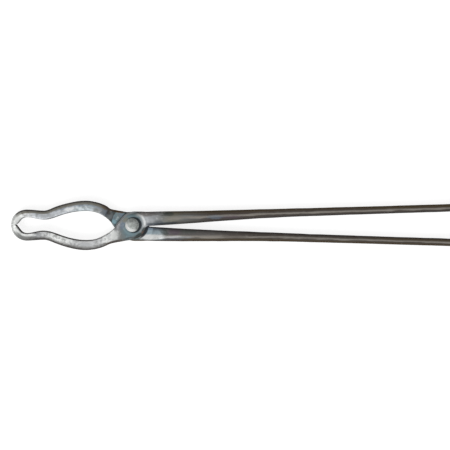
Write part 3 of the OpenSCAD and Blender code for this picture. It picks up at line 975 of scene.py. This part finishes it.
    # Painted shade: edges and sides darken by how far they turn from facing up, and the top jaw gets a painted dark
    # line along its inner edge. On the reins and round the boss this shade is tinted with brown scale.
    if top:
        line = shop.ramp(across, 0.85, 0.94) * on_jaw * 0.3
        weight = 1 - shop.ramp(reach, -0.098, -0.130) * shop.ramp(across, 0.8, 0.5) * 0.8
        weight = weight * (1 - shop.ramp(reach, -0.055, -0.040) * shop.ramp(across, 0.5, 0.8) * 0.4)
    else:
        line = shop.ramp(across, 0.85, 0.94) * 0.1
        weight = shop.ramp(reach, -0.140, -0.132) * (1 - shop.ramp(across, 0.3, 0.1) * on_jaw * 0.75)
    turned = shop.ramp(side + line + ragged * 0.1, 0.08, 0.38)
    edge = turned * weight * (1 - fork * 0.5)
    brown = shop.ramp(outer, 0.5, 0.8) * on_rein * 0.4
    brown = brown + shop.band(straight, -0.030, 0.018, 0.008) * (0.4 if top else 0.6)
    rim = shop.mix(brown, colours.shade, colours.bronze)
    tone = shop.mix(edge * (0.9 - on_boss * (0.3 if top else 0.0) - on_rein * 0.1), tone, rim)
    # The first pale spot lies under the painted highlight on the top jaw's root, the second under the painted
    # highlight on the lower rein's ramp. They take the metal's mirror from them, so the colour shows as laid.
    if top:
        pale = shop.spot(place, -20.5, -12, 5.5, 6, 25, ragged * 0.5)
    else:
        pale = shop.spot(place, 23, -11.5, 15, 6.4, 0, ragged * 0.5)
        pale = pale + shop.spot(place, -134, 5.2, 6, 3.4, 50, 0.0)
    tone = shop.mix(shop.ramp(grain, 0.56, 0.78) * (0.4 - pale * 0.3), tone, colours.shade)

    metallic = (0.85 - on_rein * 0.45) * (1 - turned) * (1 - band * 0.9) * (1 - pale)
    roughness = 0.40 + on_rein * 0.08 + (blotch - 0.5) * 0.2 + edge * 0.2
    return shop.steel(tone, metallic, roughness, grain * 0.5 + blotch * 0.5, 0.0002)


def rivet_steel(name, colours, radius):
    """The steel of the rivet: mottled grey, with a painted highlight on the rim of the head on the side
    that faces the light."""
    shop = Shop(bpy.data.materials.new(name))
    place = shop.place()
    blotch = shop.noise(place, 0.0042, 3.0, 0.6)
    grain = shop.noise(place, 0.0012, 4.0, 0.6)
    tone = shop.mix(shop.ramp(blotch, 0.44, 0.60) * 0.55, colours.head, colours.ash)
    # A painted highlight on the rim of the head, on the side that faces the light.
    facing = shop.along(place, LIT_SIDE)
    away = shop.away(place, 0, 0)
    rim = shop.ramp(away + (blotch - 0.5) * 0.003, 0.50 * radius, 0.72 * radius)
    tone = shop.mix(rim * shop.ramp(facing, 0.0, 0.5 * radius), tone, colours.bright)
    tone = shop.mix(shop.ramp(grain, 0.5, 0.8) * 0.3, tone, colours.shade)
    roughness = 0.38 + (blotch - 0.5) * 0.2
    return shop.steel(tone, 0.35, roughness, grain * 0.4 + blotch * 0.6, 0.0003)


class TONGS_OT_forged_half(bpy.types.Operator):
    """Forge one half: jaw, lapped boss and rein"""

    bl_idname = "tongs.forged_half"
    bl_label = "Forged half"

    top: bpy.props.BoolProperty(name="Top", description="The half that lies on top", default=False)

    def execute(self, context):
        scene = context.scene
        jaw, boss, rein = scene.tongs_jaw, scene.tongs_boss, scene.tongs_rein
        rivet = scene.tongs_rivet
        side = boss.top_side if self.top else boss.bottom_side
        crotch = boss.top_crotch if self.top else boss.bottom_crotch
        shift = -jaw.tip_shift if self.top else jaw.tip_shift
        drop = -boss.drop if self.top else boss.drop
        seed = 11 if self.top else 5
        marks = scene.tongs_marks
        made = half_surface(jaw, boss, rein, marks, side, crotch, drop, shift, seed)
        rings, across, inset, turned = made
        if self.top:
            rings = rings * [1, -1, -1]
            across = 1 - across
        rings = rings + [RIVET_X, 0, 0]
        node = "top_half" if self.top else "bottom_half"
        name = "forged_" + node
        piece = add_piece(name, ring_mesh(name, rings, {"across": across, "inset": inset, "side": turned}))
        bored(piece, rivet.shank_d / 2 + (rivet.running_gap if self.top else 0))
        finished(piece, forged_steel(name + "_steel", scene.tongs_colours, self.top))
        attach(piece, UPPER_BODY if self.top else LOWER_BODY)
        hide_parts(node)
        return {"FINISHED"}


RIVET_FACETS = 144
HEAD_RINGS = 34


def dome(radius, height, rim, flat, count):
    """The profile of a low round head from its foot to its crown: an upright rim, then a ball
    that passes the rim's top edge and the edge of the flat, and the flat."""
    ball_z = (flat**2 + height**2 - radius**2 - rim**2) / (2 * (height - rim))
    ball = math.hypot(flat, height - ball_z)
    r = radius * np.cos(np.linspace(0, np.pi / 2, count))
    r[-1] = radius * 0.004
    z = least(ball_z + np.sqrt(ball**2 - r**2), height, 0.15 * MM)
    return np.concatenate([[radius], r]), np.concatenate([[0], z])


class TONGS_OT_rivet(bpy.types.Operator):
    """Set the rivet: shank, factory head and hammered head"""

    bl_idname = "tongs.rivet"
    bl_label = "Rivet"

    def execute(self, context):
        scene = context.scene
        sizes, boss = scene.tongs_rivet, scene.tongs_boss
        head_z = boss.thickness + boss.lap_gap
        head_r, head_h = dome(sizes.head_d / 2, sizes.head_h, sizes.rim_h, sizes.head_flat / 2, HEAD_RINGS)
        tail_r, tail_h = dome(sizes.tail_d / 2, sizes.tail_h, sizes.rim_h, 0, HEAD_RINGS)
        shank_r = sizes.shank_d / 2
        radius = np.concatenate([tail_r[::-1], [shank_r, shank_r], head_r])
        height = np.concatenate([-boss.thickness - tail_h[::-1], [-boss.thickness, head_z], head_z + head_h])
        turn = np.linspace(0, 2 * np.pi, RIVET_FACETS, endpoint=False)
        rings = np.stack(
            [
                RIVET_X + radius[:, None] * np.cos(turn),
                radius[:, None] * np.sin(turn),
                np.repeat(height[:, None], RIVET_FACETS, axis=1),
            ],
            axis=-1,
        )
        first = len(tail_r) + 2
        cap = rings[first + 1 :]
        inward = step(head_r[1:], sizes.head_d / 2, 0.8 * sizes.head_d / 2)[:, None]
        cap[..., 2] -= inward * sizes.dent * soft_noise(cap, 3.2 * MM, 4)
        piece = add_piece("hammered_rivet", ring_mesh("hammered_rivet", rings, {}))
        finished(piece, rivet_steel("rivet_steel", scene.tongs_colours, sizes.head_d / 2))
        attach(piece, LOWER_BODY)
        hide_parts("rivet")
        return {"FINISHED"}


FLOOR_SIZE = 6.0


def floor_material(shade, glow):
    """A pale floor. To the camera and in reflections it glows as well, which makes it white, and
    its own shade keeps the shadow of the tongs."""
    shop = Shop(bpy.data.materials.new("floor_paper"))
    kinds = ("Is Camera Ray", "Is Glossy Ray", "Is Transmission Ray")
    rays = [shop.node("ShaderNodeLightPath", output=kind) for kind in kinds]
    seen = shop.node("ShaderNodeMath", {"operation": "MAXIMUM"}, {0: rays[0], 1: rays[1]})
    seen = shop.node("ShaderNodeMath", {"operation": "MAXIMUM"}, {0: seen, 1: rays[2]})
    paper = shop.node("ShaderNodeBsdfDiffuse", {}, {"Color": opaque(shade)})
    light = shop.node("ShaderNodeEmission", {}, {"Strength": glow})
    both = shop.node("ShaderNodeAddShader", {}, {0: paper, 1: light})
    surface = shop.node("ShaderNodeMixShader", {}, {0: seen, 1: paper, 2: both})
    shop.node("ShaderNodeOutputMaterial", {}, {"Surface": surface})
    return shop.owner


SKY_SIDE = Vector((-0.25, -0.38, 0.89)).normalized()


def studio_world(sky, dusk):
    """A soft bright part of the sky round SKY_SIDE that fades into an even dusk: the light eases
    with the cosine of the angle between a direction and that side."""
    shop = Shop(bpy.data.worlds.new("studio"))
    way = shop.node("ShaderNodeTexCoord", output="Generated")
    facing = shop.node("ShaderNodeVectorMath", {"operation": "DOT_PRODUCT"}, {0: way, 1: SKY_SIDE}, "Value")
    dim, light = (shop.node("ShaderNodeBackground", {}, {"Strength": power}) for power in (dusk, sky))
    both = shop.node("ShaderNodeMixShader", {}, {0: shop.ramp(facing, 0.45, 0.95), 1: dim, 2: light})
    shop.node("ShaderNodeOutputWorld", {}, {"Surface": both})
    return shop.owner


def soft_lamp(name, place, aim, size, power):
    """A square area lamp that faces a point."""
    data = bpy.data.lights.new(name, "AREA")
    data.size = size
    data.energy = power
    lamp = bpy.data.objects.new(name, data)
    lamp.location = place
    lamp.rotation_euler = (Vector(aim) - Vector(place)).to_track_quat("-Z", "Y").to_euler()
    bpy.context.scene.collection.objects.link(lamp)


class TONGS_OT_stage(bpy.types.Operator):
    """Set the stage: floor, lamps and camera"""

    bl_idname = "tongs.stage"
    bl_label = "Stage"

    def execute(self, context):
        scene = context.scene
        stage = scene.tongs_stage
        half = FLOOR_SIZE / 2
        corners = [(-half, -half), (half, -half), (half, half), (-half, half)]
        mesh = bpy.data.meshes.new("floor")
        mesh.from_pydata([(*c, LOWEST) for c in corners], [], [(0, 1, 2, 3)])
        mesh.materials.append(floor_material(stage.floor, stage.glow))
        add_piece("floor", mesh)
        scene.world = studio_world(stage.sky, stage.dusk)
        middle = Vector((stage.centre_x, stage.centre_y, 0))
        soft_lamp("key_lamp", middle + Vector((-0.55, -0.75, 1.3)), middle, 0.5, stage.key)
        camera = bpy.data.cameras.new("camera")
        camera.lens = stage.lens
        viewer = bpy.data.objects.new("camera", camera)
        distance = stage.field * stage.lens / camera.sensor_width
        viewer.location = (stage.centre_x, stage.centre_y, distance)
        camera.clip_end = 20
        scene.collection.objects.link(viewer)
        scene.camera = viewer
        scene.view_settings.view_transform = "Standard"
        return {"FINISHED"}


class TONGS_PT_panel(bpy.types.Panel):
    """The tongs' pieces and the stage"""

    bl_label = "Rivet tongs"
    bl_idname = "TONGS_PT_panel"
    bl_space_type = "VIEW_3D"
    bl_region_type = "UI"
    bl_category = "Tongs"

    def draw(self, context):
        column = self.layout.column()
        for kind in (TONGS_OT_forged_half, TONGS_OT_rivet, TONGS_OT_stage):
            column.operator(kind.bl_idname)
        for key, group in SETTINGS.items():
            box = self.layout.box()
            settings = getattr(context.scene, key)
            for name in group.__annotations__:
                box.prop(settings, name)


CLASSES = (*SETTINGS.values(), TONGS_OT_forged_half, TONGS_OT_rivet, TONGS_OT_stage, TONGS_PT_panel)


def register():
    for kind in CLASSES:
        bpy.utils.register_class(kind)
    for key, group in SETTINGS.items():
        setattr(bpy.types.Scene, key, bpy.props.PointerProperty(type=group))


def unregister():
    for key in SETTINGS:
        delattr(bpy.types.Scene, key)
    for kind in reversed(CLASSES):
        bpy.utils.unregister_class(kind)


def main():
    """Makes every piece and the stage."""
    register()
    bpy.ops.tongs.forged_half(top=False)
    bpy.ops.tongs.forged_half(top=True)
    bpy.ops.tongs.rivet()
    bpy.ops.tongs.stage()


if __name__ == "__main__":
    main()
